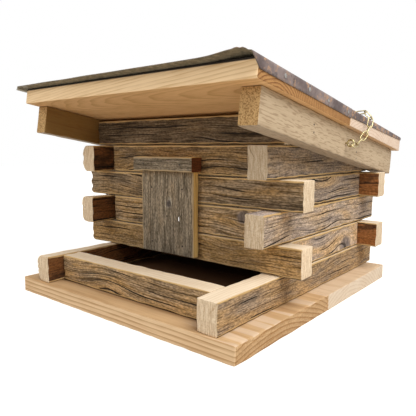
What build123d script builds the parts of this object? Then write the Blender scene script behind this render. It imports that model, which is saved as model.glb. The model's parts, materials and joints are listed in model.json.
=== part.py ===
"""Log cabin feeder.

Sawn strips are stacked crosswise on a base of two boards, like the logs of a cabin. A seed
tray lies in front, fed through a slot under the front wall. The shed roof is two boards under
folded sheet metal: the rear one is fixed, and the front one is a lid that lifts on two hinges
to fill the hopper. A chain between two eye screws hangs the whole thing up.

Frame: millimetres, x to the right, y to the back, z up, origin under the middle of the base.
"""

import os
from math import asin, atan2, ceil, cos, degrees, pi, sin

from build123d import *

os.makedirs("parts", exist_ok=True)

# Base boards
board_t = 19.0
base_board_w = 184.0
base_border = 25.5
base_ease = 1.2

# Stacked strips
log_t = 25.0
narrow_log_h = 33.3
wide_log_h = 35.5
log_ease = 0.8
course_gap = 0.4
joint_gap = 0.3

# Plan of the cabin
cabin_width = 295.0
cabin_x = 3.0
hopper_depth = 189.5
tray_opening = 60.3
tray_recess = 21.2
side_log_setback = 2.5
end_overhang = 26.0
rear_overhang = 30.0
left_set_out = 6.0
low_log_reach = 31.5
high_log_reach = 27.5
top_log_length = 308.3
top_log_setback = 5.0

# Door on the front wall
door_x = -6.4
door_w = 88.7
door_h = 103.0
door_t = 9.2
door_lift = 4.1
lintel_side = 5.3
lintel_h = 17.8
lintel_depth = 18.6
staple_x = 23.0
staple_z = 46.0
staple_h = 7.5
staple_proud = 3.0
staple_leg = 6.0
staple_wire = 1.2

# Roof
roof_width = 359.0
roof_x = -0.5
lid_board_w = 196.0
rear_board_w = 184.0
roof_seam = 0.6
roof_seat = 0.2
lid_gap = 0.3
lid_reach = 123.0
roof_ease = 1.0
left_batten_t = 19.5
right_batten_t = 22.0
batten_front_inset = 17.5
batten_rear_inset = 11.4
batten_clear = 0.7
batten_clip = 5.0

# Sheet metal roofing
sheet_t = 0.6
sheet_overhang = 12.0
lid_flange = 11.0
rear_flange_front = 9.5
rear_flange_back = 4.0
flange_slant = 14.0
lip_reach = 9.0
lip_r = 14.0

# Hinges
hinge_spread = 220.0
hinge_l = 38.0
leaf_w = 14.0
leaf_t = 1.0
barrel_r = 2.5
pin_r = 1.25
pin_clear = 0.05
knuckle_gap = 0.3
middle_knuckle = 13.0
hinge_screw_x = 12.5
pin_head_r = 2.1
pin_head_t = 1.0

# Fasteners
brad_w = 1.6
brad_fit = 0.05
brad_l = 45.0
door_brad_l = 28.0
brad_stagger = 5.0
brad_inset = 30.0
brad_pair = 8.0
batten_brad_edge = 4.0
batten_brad_run = 116.0
batten_brad_lift = 6.0
door_brad_x = 26.0
lintel_brad_x = 31.0
roof_brad_inset = 28.0
nail_l = 14.0
nail_inset = 20.0
flange_nail_drop = 5.0
flange_nail_shares = (0.22, 0.46, 0.68, 0.95)
nail_head_r = 2.2
screw_l = 13.0
screw_head_r = 2.4
head_t = 0.9

# Eye screws and chain
eye_wire = 2.2
eye_ring_r = 3.7
eye_neck = 1.5
eye_shank = 14.0
eye_behind_seam = 8.0
eye_drop = 18.5
ring_steps = 6
link_l = 16.0
link_w = 7.4
link_wire = 1.6
link_pitch = 11.5
link_lie = 0.3
bow_steps = 3
chain_lean = 36.0
chain_sag = 2.0
chain_sag_back = 10.5
chain_sway = 17.0
chain_sway_inset = 36.0

# Heights of the courses, from the tray's logs up to the single log over the front wall
course_h = [narrow_log_h, narrow_log_h, wide_log_h, narrow_log_h, wide_log_h, narrow_log_h]
course_low = [board_t + sum(course_h[:course]) + course * course_gap for course in range(6)]
course_top = [low + height for low, height in zip(course_low, course_h)]

# Plan lines, from the front of the base to the back
base_width = cabin_width + 2 * base_border
tray_side_front = side_log_setback - base_board_w
tray_front = tray_side_front + tray_recess
front_face = tray_front + log_t + tray_opening
back_face = front_face + log_t + hopper_depth + log_t
side_log_back = back_face + rear_overhang
cabin_left = cabin_x - cabin_width / 2
cabin_right = cabin_x + cabin_width / 2
top_log_left = cabin_right - top_log_length
top_log_front = front_face + top_log_setback
top_log_back = top_log_front + log_t

# Roof frame: x across, s down the slope from the top log's rear edge, h out of the underside
slope = atan2(course_top[5] - course_top[4], back_face - top_log_back)
down_slope = Vector(0, cos(slope), -sin(slope))
roof_plane = Plane(
    origin=(0, top_log_back, course_top[5] + roof_seat),
    x_dir=(1, 0, 0),
    z_dir=(0, sin(slope), cos(slope)),
)
roof_left = roof_x - roof_width / 2
roof_right = roof_x + roof_width / 2
lid_front_s = -lid_reach
lid_back_s = lid_front_s + lid_board_w
rear_front_s = lid_back_s + roof_seam
rear_back_s = rear_front_s + rear_board_w
lid_top = lid_gap + board_t
axis_s = lid_back_s + roof_seam / 2
axis_h = lid_top + sheet_t + barrel_r + lid_gap
batten_h = (course_top[4] + roof_seat - course_top[3]) * cos(slope) - batten_clear
left_batten_face = top_log_left - left_batten_t
right_batten_face = cabin_right + right_batten_t


def on_roof(x, s, h):
    """Point of the roof frame in the part's own frame."""
    return roof_plane.from_local_coords(Vector(x, s, h))


def side_plane(x):
    """Plane square to x, whose own axes are s and h and whose normal is +x."""
    return Plane(origin=on_roof(x, 0, 0), x_dir=down_slope, z_dir=(1, 0, 0))


def save(piece, name):
    """Label one finished piece and write its file."""
    piece.part.label = name
    export_step(piece.part, f"parts/{name}.step")


# Every strip of the stack: its two corners, and where along it brads hold it to what is below
strips = {}


def lay(name, course, x_span, y_span, nailed_at):
    """Lay one strip in its course."""
    low = Vector(x_span[0], y_span[0], course_low[course])
    high = Vector(x_span[1], y_span[1], course_top[course])
    strips[name] = (course, low, high, nailed_at)


left_wall = (cabin_left, cabin_left + log_t)
right_wall = (cabin_right - log_t, cabin_right)
front_wall = (front_face, front_face + log_t)
back_wall = (back_face - log_t, back_face)
between_sides = (left_wall[1] + joint_gap, right_wall[0] - joint_gap)
between_ends = (front_wall[1] + joint_gap, back_wall[0] - joint_gap)
past_sides = (cabin_left - end_overhang, cabin_right + end_overhang)
side_middles = (sum(left_wall) / 2, sum(right_wall) / 2)
end_middles = (sum(front_wall) / 2, sum(back_wall) / 2)
across_inset = (between_sides[0] + brad_inset, between_sides[1] - brad_inset)
along_inset = (between_ends[0] + brad_inset, between_ends[1] - brad_inset)
tray_nails = (tray_side_front + brad_inset, base_board_w - brad_inset)

for side, wall, set_out in (("left", left_wall, -left_set_out), ("right", right_wall, 0)):
    crossing_wall = (wall[0] + set_out, wall[1] + set_out)
    lay(f"tray_{side}_log", 0, wall, (tray_side_front, side_log_back), tray_nails)
    lay(f"{side}_log_1", 1, wall, between_ends, along_inset)
    lay(f"{side}_log_2", 2, crossing_wall, (front_face - low_log_reach, side_log_back), end_middles)
    lay(f"{side}_log_3", 3, wall, between_ends, along_inset)
    lay(f"{side}_log_4", 4, crossing_wall, (front_face - high_log_reach, back_face), end_middles)
lay("tray_front_log", 0, between_sides, (tray_front, tray_front + log_t), across_inset)
lay("back_sill_log", 0, between_sides, back_wall, across_inset)
for end, wall in (("front", front_wall), ("back", back_wall)):
    lay(f"{end}_log_1", 1, past_sides, wall, side_middles)
    lay(f"{end}_log_2", 2, between_sides, wall, across_inset)
    lay(f"{end}_log_3", 3, past_sides, wall, side_middles)
    lay(f"{end}_log_4", 4, between_sides, wall, across_inset)
lay("front_top_log", 5, (top_log_left, cabin_right), (top_log_front, top_log_back), side_middles)

# Door sizes that its brads and staple share
door_low = course_low[1] + door_lift
door_face = front_face - door_t
door_top = door_low + door_h
lintel_face = front_face - lintel_depth

# Fasteners: planes at their heads that face the way they are driven, shank length, head radius
log_brads = []
for course, low, high, nailed_at in strips.values():
    along_x = high.X - low.X > high.Y - low.Y
    shift = brad_stagger if course % 2 else -brad_stagger
    for place in nailed_at:
        x = (place if along_x else (low.X + high.X) / 2) + shift
        y = ((low.Y + high.Y) / 2 if along_x else place) + shift
        if course == 0:
            log_brads.append(Plane(origin=(x, y, 0), z_dir=(0, 0, 1)))
        else:
            log_brads.append(Plane(origin=(x, y, high.Z), z_dir=(0, 0, -1)))

top_log_pair = (top_log_back - batten_brad_edge, (course_low[5] + course_top[5]) / 2)
side_log_pair = (front_wall[1] + batten_brad_run, (course_low[4] + course_top[4]) / 2 + batten_brad_lift)
batten_brads = []
for face, inward in ((left_batten_face, 1), (right_batten_face, -1)):
    for y, z_mid in (top_log_pair, side_log_pair):
        for z in (z_mid - brad_pair / 2, z_mid + brad_pair / 2):
            batten_brads.append(Plane(origin=(face, y, z), z_dir=(inward, 0, 0)))

door_brads = []
for course, places in ((1, (-door_brad_x, door_brad_x)), (2, (0,)), (3, (-door_brad_x, door_brad_x))):
    for place in places:
        spot = (door_x + place, door_face, (course_low[course] + course_top[course]) / 2)
        door_brads.append(Plane(origin=spot, z_dir=(0, 1, 0)))
for place in (-lintel_brad_x, lintel_brad_x):
    spot = (door_x + place, lintel_face, door_top + lintel_h / 2)
    door_brads.append(Plane(origin=spot, z_dir=(0, 1, 0)))

into_roof = -roof_plane.z_dir
batten_middles = (top_log_left - left_batten_t / 2, cabin_right + right_batten_t / 2)
roof_brads = []
for x in batten_middles:
    for s in (rear_front_s + roof_brad_inset, rear_back_s - roof_brad_inset):
        roof_brads.append(Plane(origin=on_roof(x, s, board_t), z_dir=into_roof))

lid_sheet_nails = []
for share in flange_nail_shares:
    spot = on_roof(roof_right + sheet_t, lid_front_s + share * lid_board_w, lid_top - flange_nail_drop)
    lid_sheet_nails.append(Plane(origin=spot, z_dir=(-1, 0, 0)))
for s in (lid_front_s + nail_inset, (lid_front_s + lid_back_s) / 2, lid_back_s - nail_inset):
    spot = on_roof(roof_left + nail_inset, s, lid_top + sheet_t)
    lid_sheet_nails.append(Plane(origin=spot, z_dir=into_roof))

rear_sheet_nails = []
for x in (roof_left + nail_inset, roof_x, roof_right - nail_inset):
    for s in (rear_front_s + nail_inset, rear_back_s - nail_inset):
        spot = on_roof(x, s, board_t + sheet_t)
        rear_sheet_nails.append(Plane(origin=spot, z_dir=into_roof))

hinge_middles = {"left": roof_x - hinge_spread / 2, "right": roof_x + hinge_spread / 2}
leaf_root = barrel_r + knuckle_gap
lid_hinge_screws = []
fixed_hinge_screws = []
for x_mid in hinge_middles.values():
    for x in (x_mid - hinge_screw_x, x_mid + hinge_screw_x):
        reach = leaf_root + leaf_w / 2
        lid_spot = on_roof(x, axis_s - reach, lid_top + sheet_t + leaf_t)
        fixed_spot = on_roof(x, axis_s + reach, board_t + sheet_t + leaf_t)
        lid_hinge_screws.append(Plane(origin=lid_spot, z_dir=into_roof))
        fixed_hinge_screws.append(Plane(origin=fixed_spot, z_dir=into_roof))

fasteners = {
    "log_brads": (log_brads, brad_l, 0),
    "batten_brads": (batten_brads, brad_l, 0),
    "door_brads": (door_brads, door_brad_l, 0),
    "roof_brads": (roof_brads, brad_l, 0),
    "lid_sheet_nails": (lid_sheet_nails, nail_l, nail_head_r),
    "rear_sheet_nails": (rear_sheet_nails, nail_l, nail_head_r),
    "lid_hinge_screws": (lid_hinge_screws, screw_l, screw_head_r),
    "fixed_hinge_screws": (fixed_hinge_screws, screw_l, screw_head_r),
}
from_head = (Align.CENTER, Align.CENTER, Align.MIN)


def cut_fastener_holes(piece):
    """Cut the snug hole of every fastener whose shank crosses the piece being built."""
    box = piece.part.bounding_box()
    hole_w = brad_w + 2 * brad_fit
    for planes, length, _ in fasteners.values():
        for head in planes:
            tip = head.origin + head.z_dir * length
            spans = zip(head.origin, tip, box.min, box.max)
            if all(min(a, b) < high and max(a, b) > low for a, b, low, high in spans):
                with Locations(head):
                    Box(hole_w, hole_w, length, align=from_head, mode=Mode.SUBTRACT)


for name, (planes, length, head_r) in fasteners.items():
    with BuildPart() as group:
        with Locations(*planes):
            Box(brad_w, brad_w, length, align=from_head)
        if head_r:
            with BuildSketch(*planes):
                RegularPolygon(head_r, 8)
            extrude(amount=-head_t)
    save(group, name)

# Base: two boards side by side, their upper edges eased
for name, y_mid in (("base_front_board", -base_board_w / 2), ("base_rear_board", base_board_w / 2)):
    with BuildPart() as base_board:
        with Locations((0, y_mid, 0)):
            Box(base_width, base_board_w, board_t, align=from_head)
        chamfer(base_board.faces().sort_by(Axis.Z)[-1].edges(), base_ease)
        cut_fastener_holes(base_board)
    save(base_board, name)

# Stacked strips, their long edges eased
for name, (_, low, high, _) in strips.items():
    with BuildPart() as strip:
        with Locations((low + high) / 2):
            Box(high.X - low.X, high.Y - low.Y, high.Z - low.Z)
        grain = Axis.X if high.X - low.X > high.Y - low.Y else Axis.Y
        chamfer(strip.edges().filter_by(grain), log_ease)
        cut_fastener_holes(strip)
    save(strip, name)

# Door: a thin board under a lintel block, with a wire staple for its handle
with BuildPart() as door_board:
    with BuildSketch(Plane.XZ.offset(-front_face)):
        with Locations((door_x, door_low + door_h / 2)):
            Rectangle(door_w, door_h)
    extrude(amount=door_t)
    chamfer(door_board.faces().sort_by(Axis.Y)[0].edges(), log_ease)
    for side in (-1, 1):
        leg_z = door_low + staple_z + side * (staple_h - staple_wire) / 2
        with Locations((door_x + staple_x, door_face + staple_leg / 2, leg_z)):
            Box(staple_wire + 2 * brad_fit, staple_leg, staple_wire + 2 * brad_fit, mode=Mode.SUBTRACT)
    cut_fastener_holes(door_board)
save(door_board, "door_board")

with BuildPart() as door_lintel:
    with BuildSketch(Plane.XZ.offset(-front_face)):
        with Locations((door_x, door_top + lintel_h / 2)):
            Rectangle(door_w + 2 * lintel_side, lintel_h)
    extrude(amount=lintel_depth)
    chamfer(door_lintel.edges().filter_by(Axis.X), log_ease)
    cut_fastener_holes(door_lintel)
save(door_lintel, "door_lintel")

with BuildPart() as door_staple:
    with BuildSketch(Plane.YZ.offset(door_x + staple_x)):
        with Locations((door_face + (staple_leg - staple_proud) / 2, door_low + staple_z)):
            Rectangle(staple_leg + staple_proud, staple_h)
        with Locations((door_face + (staple_leg - staple_proud) / 2 + staple_wire, door_low + staple_z)):
            Rectangle(staple_leg + staple_proud, staple_h - 2 * staple_wire, mode=Mode.SUBTRACT)
    extrude(amount=staple_wire / 2, both=True)
save(door_staple, "door_staple")

# Eye screws: a ring square to y on a shank that goes into the batten
eye_s = axis_s + eye_behind_seam
eyes = {"left": (left_batten_face, -1), "right": (right_batten_face, 1)}


def eye_seat(face):
    """Point on a batten's outer face where its eye screw goes in."""
    seat = on_roof(0, eye_s, -eye_drop)
    return Vector(face, seat.Y, seat.Z)


def eye_centre(face, outward):
    """Middle of an eye screw's ring."""
    return eye_seat(face) + Vector(outward * (eye_neck + eye_ring_r + eye_wire / 2), 0, 0)


def half_turn(middle, first, side, radius, steps):
    """Section planes of a wire bent half round a middle, from the first way over to the side way."""
    planes = []
    for step in range(steps + 1):
        turn = pi * step / steps
        outwards = first * cos(turn) + side * sin(turn)
        onwards = side * cos(turn) - first * sin(turn)
        planes.append(Plane(origin=middle + outwards * radius, x_dir=outwards, z_dir=onwards))
    return planes


for side, (face, outward) in eyes.items():
    ring_middle = eye_centre(face, outward)
    with BuildPart() as eye_screw:
        for wire_plane in half_turn(ring_middle, Vector(1, 0, 0), Vector(0, 0, 1), eye_ring_r, ring_steps):
            with BuildSketch(wire_plane):
                RegularPolygon(eye_wire / 2, 8)
        loft(ruled=True)
        mirror(about=Plane(origin=ring_middle))
        tip = eye_seat(face) - Vector(outward * eye_shank, 0, 0)
        with BuildSketch(Plane(origin=tip, z_dir=(outward, 0, 0))):
            RegularPolygon(eye_wire / 2, 8)
        extrude(amount=eye_shank + eye_neck + eye_wire / 2)
    save(eye_screw, f"{side}_eye_screw")

# Battens under the roof's ends, their upper rear corners clipped
batten_spans = {
    "left": (left_batten_face, top_log_left),
    "right": (cabin_right, right_batten_face),
}
batten_front_s = lid_front_s + batten_front_inset
batten_back_s = rear_back_s - batten_rear_inset
for side, (x_low, x_high) in batten_spans.items():
    with BuildPart() as batten:
        with BuildSketch(side_plane(x_low)):
            with BuildLine():
                Polyline(
                    (batten_front_s, -batten_h),
                    (batten_front_s, 0),
                    (batten_back_s - batten_clip, 0),
                    (batten_back_s, -batten_clip),
                    (batten_back_s, -batten_h),
                    close=True,
                )
            make_face()
        extrude(amount=x_high - x_low)
        face, outward = eyes[side]
        with BuildSketch(Plane(origin=eye_seat(face), z_dir=(-outward, 0, 0))):
            RegularPolygon(eye_wire / 2 + brad_fit, 8)
        extrude(amount=eye_shank, mode=Mode.SUBTRACT)
        cut_fastener_holes(batten)
    save(batten, f"{side}_batten")

# Roof boards: the lid in front of the seam and the fixed board behind it
roof_boards = {
    "roof_lid_board": (lid_front_s, lid_back_s, lid_gap),
    "roof_rear_board": (rear_front_s, rear_back_s, 0),
}
for name, (s_low, s_high, h_low) in roof_boards.items():
    with BuildPart() as roof_board:
        with BuildSketch(roof_plane.offset(h_low)):
            with Locations((roof_x, (s_low + s_high) / 2)):
                Rectangle(roof_width, s_high - s_low)
        extrude(amount=board_t)
        lower_edges = roof_board.faces().sort_by(Axis(roof_plane.origin, roof_plane.z_dir))[0].edges()
        chamfer(lower_edges.filter_by(Axis.X), roof_ease)
        cut_fastener_holes(roof_board)
    save(roof_board, name)

# Sheet metal over the lid: flange folded down at the right, lip turned up at the left
lid_sheet_front = lid_front_s - sheet_overhang
lip_turn = degrees(asin(lip_reach / lip_r))
lip_middle = (roof_left, lid_top + lip_r)
cross_plane = Plane(origin=on_roof(0, lid_back_s, 0), x_dir=(1, 0, 0), z_dir=-down_slope)
with BuildPart() as lid_sheet:
    with BuildSketch(roof_plane.offset(lid_top)):
        with Locations((roof_x + sheet_t / 2, (lid_sheet_front + lid_back_s) / 2)):
            Rectangle(roof_width + sheet_t, lid_back_s - lid_sheet_front)
    extrude(amount=sheet_t)
    with BuildSketch(side_plane(roof_right)):
        with BuildLine():
            Polyline(
                (lid_sheet_front, lid_top + sheet_t),
                (lid_back_s, lid_top + sheet_t),
                (lid_back_s, lid_top + sheet_t - lid_flange),
                (lid_sheet_front + flange_slant, lid_top + sheet_t - lid_flange),
                close=True,
            )
        make_face()
    extrude(amount=sheet_t)
    with BuildSketch(cross_plane):
        with BuildLine():
            lower_arc = CenterArc(lip_middle, lip_r, 270 - lip_turn, lip_turn)
            upper_arc = CenterArc(lip_middle, lip_r - sheet_t, 270 - lip_turn, lip_turn)
            Line(lower_arc @ 0, upper_arc @ 0)
            Line(lower_arc @ 1, upper_arc @ 1)
        make_face()
    extrude(amount=lid_back_s - lid_sheet_front)
    cut_fastener_holes(lid_sheet)
save(lid_sheet, "lid_roof_sheet")

# Sheet metal over the fixed rear board: flanges at both ends that narrow to the back
with BuildPart() as rear_sheet:
    with BuildSketch(roof_plane.offset(board_t)):
        with Locations((roof_x, (rear_front_s + rear_back_s) / 2)):
            Rectangle(roof_width + 2 * sheet_t, rear_back_s - rear_front_s)
    extrude(amount=sheet_t)
    for x_low in (roof_left - sheet_t, roof_right):
        with BuildSketch(side_plane(x_low)):
            with BuildLine():
                Polyline(
                    (rear_front_s, board_t + sheet_t),
                    (rear_back_s, board_t + sheet_t),
                    (rear_back_s, board_t + sheet_t - rear_flange_back),
                    (rear_front_s, board_t + sheet_t - rear_flange_front),
                    close=True,
                )
            make_face()
        extrude(amount=sheet_t)
    cut_fastener_holes(rear_sheet)
save(rear_sheet, "rear_roof_sheet")

# Hinges: a leaf on the lid with the middle knuckle, a fixed leaf with the outer two, and a pin
half_middle = middle_knuckle / 2
middle_span = [(-half_middle, half_middle)]
outer_spans = [
    (-hinge_l / 2, -half_middle - knuckle_gap),
    (half_middle + knuckle_gap, hinge_l / 2),
]
leaf_kinds = {
    "lid": (-1, lid_top + sheet_t, middle_span),
    "fixed": (1, board_t + sheet_t, outer_spans),
}
for side, x_mid in hinge_middles.items():
    for kind, (toward, plate_low, spans) in leaf_kinds.items():
        with BuildPart() as leaf:
            with BuildSketch(roof_plane.offset(plate_low)):
                with Locations((x_mid, axis_s + toward * (leaf_root + leaf_w / 2))):
                    Rectangle(hinge_l, leaf_w)
            extrude(amount=leaf_t)
            for x_low, x_high in spans:
                with BuildSketch(side_plane(x_mid + x_low)):
                    with BuildLine():
                        Polyline(
                            (axis_s, plate_low),
                            (axis_s + toward * (leaf_root + leaf_t), plate_low),
                            (axis_s + toward * (leaf_root + leaf_t), plate_low + leaf_t),
                            (axis_s + toward * barrel_r, axis_h),
                            (axis_s, axis_h),
                            close=True,
                        )
                    make_face()
                    with Locations((axis_s, axis_h)):
                        Circle(barrel_r)
                        Circle(pin_r + pin_clear, mode=Mode.SUBTRACT)
                extrude(amount=x_high - x_low)
            cut_fastener_holes(leaf)
        save(leaf, f"{side}_hinge_{kind}_leaf")

    with BuildPart() as hinge_pin:
        with BuildSketch(side_plane(x_mid)):
            with Locations((axis_s, axis_h)):
                Circle(pin_r)
        extrude(amount=hinge_l / 2 + knuckle_gap, both=True)
        for end, outward in ((-1, -pin_head_t), (1, pin_head_t)):
            with BuildSketch(side_plane(x_mid + end * (hinge_l / 2 + knuckle_gap))):
                with Locations((axis_s, axis_h)):
                    Circle(pin_head_r)
            extrude(amount=outward)
    save(hinge_pin, f"{side}_hinge_pin")

# Chain route: up from the right eye, one link over the roof's edge, across, and down to the left
bow_r = (link_w - link_wire) / 2
half_run = (link_l - link_w) / 2
bow_tip = half_run + bow_r * (cos(pi / 2 / bow_steps) if bow_steps % 2 else 1)
bow_out = bow_tip - link_pitch / 2
hook_reach = eye_ring_r * sin(pi / 4)
hook_back = (eye_wire + link_wire) / 2 + link_lie - bow_out
link_half_height = bow_r * sin(pi / 4) + link_wire / 2
sheet_top = board_t + sheet_t
lie_h = sheet_top + link_half_height + link_lie
cross_s = eye_s + chain_lean
edge_out = (link_half_height + link_lie + link_pitch / 2) * sin(pi / 4)
edge_in = edge_out - link_pitch * sin(pi / 4)


def spaced(line, count):
    """The ends of a number of equal links along a line."""
    return [line @ (step / count) for step in range(count + 1)]


def chain_side(face, outward, edge):
    """Joints from one eye screw up to the link over the roof's edge, outward being its sign."""
    hook = eye_centre(face, outward) + Vector(outward * hook_reach, -hook_back, -hook_reach)
    edge_joint = on_roof(edge + outward * edge_out, cross_s, sheet_top + edge_in)
    sag = on_roof(edge + outward * edge_out, cross_s - chain_sag_back, -chain_sag)
    with BuildLine() as rise:
        Spline(hook, sag, edge_joint, tangents=[(0, 1, 0), roof_plane.z_dir])
    return spaced(rise.edge(), ceil(rise.edge().length / link_pitch))


right_joints = chain_side(*eyes["right"], roof_right + sheet_t)
left_joints = chain_side(*eyes["left"], roof_left - sheet_t)
right_edge = on_roof(roof_right + sheet_t + edge_in, cross_s, sheet_top + edge_out)
left_edge = on_roof(roof_left - sheet_t - edge_in, cross_s, sheet_top + edge_out)
lying = []
for step in range(-2, 3):
    x = roof_x - (roof_width / 2 - chain_sway_inset) * step / 2
    lying.append(on_roof(x, cross_s - chain_sway * sin(pi * step / 2), lie_h))
leftwards = (-1, 0, 0)
with BuildLine() as across:
    Spline(right_edge, lying[0], tangents=[leftwards, leftwards])
    Spline(*lying, tangents=[leftwards, leftwards])
    Spline(lying[-1], left_edge, tangents=[leftwards, leftwards])

# An odd number of links in all turns both end links square to their eyes
across_count = ceil(across.wire().length / link_pitch)
if (len(right_joints) + len(left_joints) + across_count) % 2 == 0:
    across_count += 1
joints = right_joints + spaced(across.wire(), across_count) + left_joints[::-1]
chain_length = sum((stop - start).length for start, stop in zip(joints, joints[1:]))
print(f"chain: {len(joints) - 1} links, {chain_length:.0f} mm long")

# One link: six-sided wire round two half turns
wire_planes = [
    Plane(origin=(0, bow_r, 0), x_dir=(0, 1, 0), z_dir=(1, 0, 0)),
    *half_turn(Vector(half_run, 0, 0), Vector(0, 1, 0), Vector(1, 0, 0), bow_r, bow_steps),
    Plane(origin=(0, -bow_r, 0), x_dir=(0, -1, 0), z_dir=(-1, 0, 0)),
]
with BuildPart() as link:
    for wire_plane in wire_planes:
        with BuildSketch(wire_plane):
            RegularPolygon(link_wire / 2, 6)
    loft(ruled=True)
    mirror(about=Plane.YZ)

# Neighbouring links stand square to each other, leaning to either side of the way outwards
away = Vector(1, 0, 0)
link_places = []
for index, (start, stop) in enumerate(zip(joints, joints[1:])):
    along = (stop - start).normalized()
    away = (away - along * away.dot(along)).normalized()
    lean = pi / 4 if index % 2 else -pi / 4
    normal = away * cos(lean) + along.cross(away) * sin(lean)
    link_places.append(Plane(origin=(start + stop) / 2, x_dir=along, z_dir=normal))

with BuildPart() as hanging_chain:
    with Locations(*link_places):
        add(link.part)
save(hanging_chain, "hanging_chain")
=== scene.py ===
# %% [markdown]
# # Dressing a log cabin feeder
# The solids of the feeder come in as a fixed frame. Every piece of wood, sheet metal and wire is
# then rebuilt on its own solid as a finer surface, worked out with numpy, and gets a finish made
# of shader nodes. The frame says where everything is, so nothing here is placed by eye.

# %% Load the frame
import json

import bmesh
import bpy
import numpy as np
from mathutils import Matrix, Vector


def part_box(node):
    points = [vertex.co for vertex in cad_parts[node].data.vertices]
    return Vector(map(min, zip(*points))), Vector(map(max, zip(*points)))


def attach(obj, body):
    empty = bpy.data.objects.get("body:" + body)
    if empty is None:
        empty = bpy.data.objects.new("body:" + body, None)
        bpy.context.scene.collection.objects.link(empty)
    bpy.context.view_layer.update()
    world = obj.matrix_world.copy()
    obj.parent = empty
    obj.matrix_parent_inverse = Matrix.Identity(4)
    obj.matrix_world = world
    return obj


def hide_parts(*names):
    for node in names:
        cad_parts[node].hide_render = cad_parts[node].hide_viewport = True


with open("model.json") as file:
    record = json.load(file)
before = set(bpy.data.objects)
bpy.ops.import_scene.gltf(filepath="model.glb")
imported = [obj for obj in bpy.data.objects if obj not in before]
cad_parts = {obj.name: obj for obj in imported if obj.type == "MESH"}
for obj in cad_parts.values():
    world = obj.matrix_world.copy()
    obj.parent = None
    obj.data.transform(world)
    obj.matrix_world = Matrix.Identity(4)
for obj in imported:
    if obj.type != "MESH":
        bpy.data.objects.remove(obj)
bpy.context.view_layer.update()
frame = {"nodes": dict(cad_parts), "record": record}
record = frame["record"]
body_of = {node: body for body, nodes in record["behaviour"]["bodies"].items() for node in nodes}
slot_of = {part["node"]: part["material_slot"] for part in record["subparts"]}
mm = 0.001

# %% [markdown]
# ## The camera
# The feeder was photographed from its right front corner, a little below the eaves, with a normal
# lens. A camera in Blender looks along its own minus Z, so a turn of 90 degrees about X makes it
# level, and the pitch and yaw are added to that.

# %% Camera
camera_place = (394.8 * mm, -493.1 * mm, 188.7 * mm)
camera_yaw = 39.315
camera_pitch = -7.414
camera_roll = -0.12
focal_pixels = 463.6
frame_pixels = 416
sensor = 36.0

camera_data = bpy.data.cameras.new("camera")
camera_data.sensor_width = sensor
camera_data.lens = sensor * focal_pixels / frame_pixels
camera_data.clip_start = 0.01
camera = bpy.data.objects.new("camera", camera_data)
camera.location = camera_place
camera.rotation_euler = np.radians((90 + camera_pitch, camera_roll, camera_yaw))
bpy.context.scene.collection.objects.link(camera)
bpy.context.scene.camera = camera
bpy.context.scene.view_settings.view_transform = "Standard"
print("lens:", round(camera_data.lens, 2), "mm")

# %% [markdown]
# ## Nodes in few words
# A material is a small program drawn as boxes and wires. Here a wire is a Value, and a sum of Values
# adds the Math nodes that work it out, so that a finish below reads as a list of what it does.

# %% Helpers for shader nodes


class Value:
    """A socket of a node tree. Sums with it become Math nodes, so a formula reads as one."""

    def __init__(self, tree, socket):
        self.tree, self.socket = tree, socket

    def calc(self, operation, *others):
        """The output of one Math node that starts from this value."""
        return add(self.tree, "Math", (self, *others), operation=operation)

    def vector(self, operation, *others, output=0):
        """The output of one Vector Math node that starts from this value."""
        return add(self.tree, "VectorMath", (self, *others), output, operation=operation)

    def __add__(self, other):
        return self.calc("ADD", other)

    def __sub__(self, other):
        return self.calc("SUBTRACT", other)

    def __mul__(self, other):
        return self.calc("MULTIPLY", other)

    def __truediv__(self, other):
        return self.calc("DIVIDE", other)


def add(tree, kind, inputs=(), output=0, **settings):
    """Add one node and give back an output. Values among its inputs are wired, anything else is set."""
    node = tree.nodes.new("ShaderNode" + kind)
    for key, value in settings.items():
        setattr(node, key, value)
    for key, value in inputs.items() if isinstance(inputs, dict) else enumerate(inputs):
        if isinstance(value, Value):
            wire(value, node.inputs[key])
        else:
            node.inputs[key].default_value = value
    return Value(tree, node.outputs[output])


def wire(value, socket):
    """Let a value feed an input."""
    value.tree.links.new(value.socket, socket)


def ramp(value, low, high, to_low=0.0, to_high=1.0):
    """Smooth step: to_low below low, to_high above high, and an S curve between them."""
    inputs = {"Value": value, "From Min": low, "From Max": high, "To Min": to_low, "To Max": to_high}
    return add(value.tree, "MapRange", inputs, interpolation_type="SMOOTHSTEP")


def blend(share, first, second):
    """Mix two colours by a share."""
    first, second = (color if isinstance(color, Value) else (*color, 1) for color in (first, second))
    return add(share.tree, "Mix", {0: share, 6: first, 7: second}, output=2, data_type="RGBA")


def layered(color, layers):
    """Lay more colours over a colour one after the other, each by its own share."""
    for share, over in layers:
        color = blend(share, color, over)
    return color


def scaled(color, factor):
    """A colour made lighter or darker by a factor."""
    return add(color.tree, "VectorMath", {0: color, "Scale": factor}, operation="SCALE")


def noise(place, scale, detail=2.0, rough=0.5):
    """Cloudy noise from 0 to 1 whose grains are about 1/scale long each way."""
    stretched = place.vector("MULTIPLY", scale)
    inputs = {"Vector": stretched, "Scale": 1.0, "Detail": detail, "Roughness": rough}
    return add(place.tree, "TexNoise", inputs, output="Fac")


def attribute(tree, name, output="Fac"):
    """What the mesh says at each point under that name."""
    return add(tree, "Attribute", output=output, attribute_name=name)


def new_group(name, **inputs):
    """An empty node group with number inputs of these start values, and the inputs by name."""
    group = bpy.data.node_groups.new(name, "ShaderNodeTree")
    for label, value in inputs.items():
        socket = group.interface.new_socket(label, in_out="INPUT", socket_type="NodeSocketFloat")
        socket.default_value = value
    given = group.nodes.new("NodeGroupInput").outputs
    return group, {label: Value(group, given[label]) for label in inputs}


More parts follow.
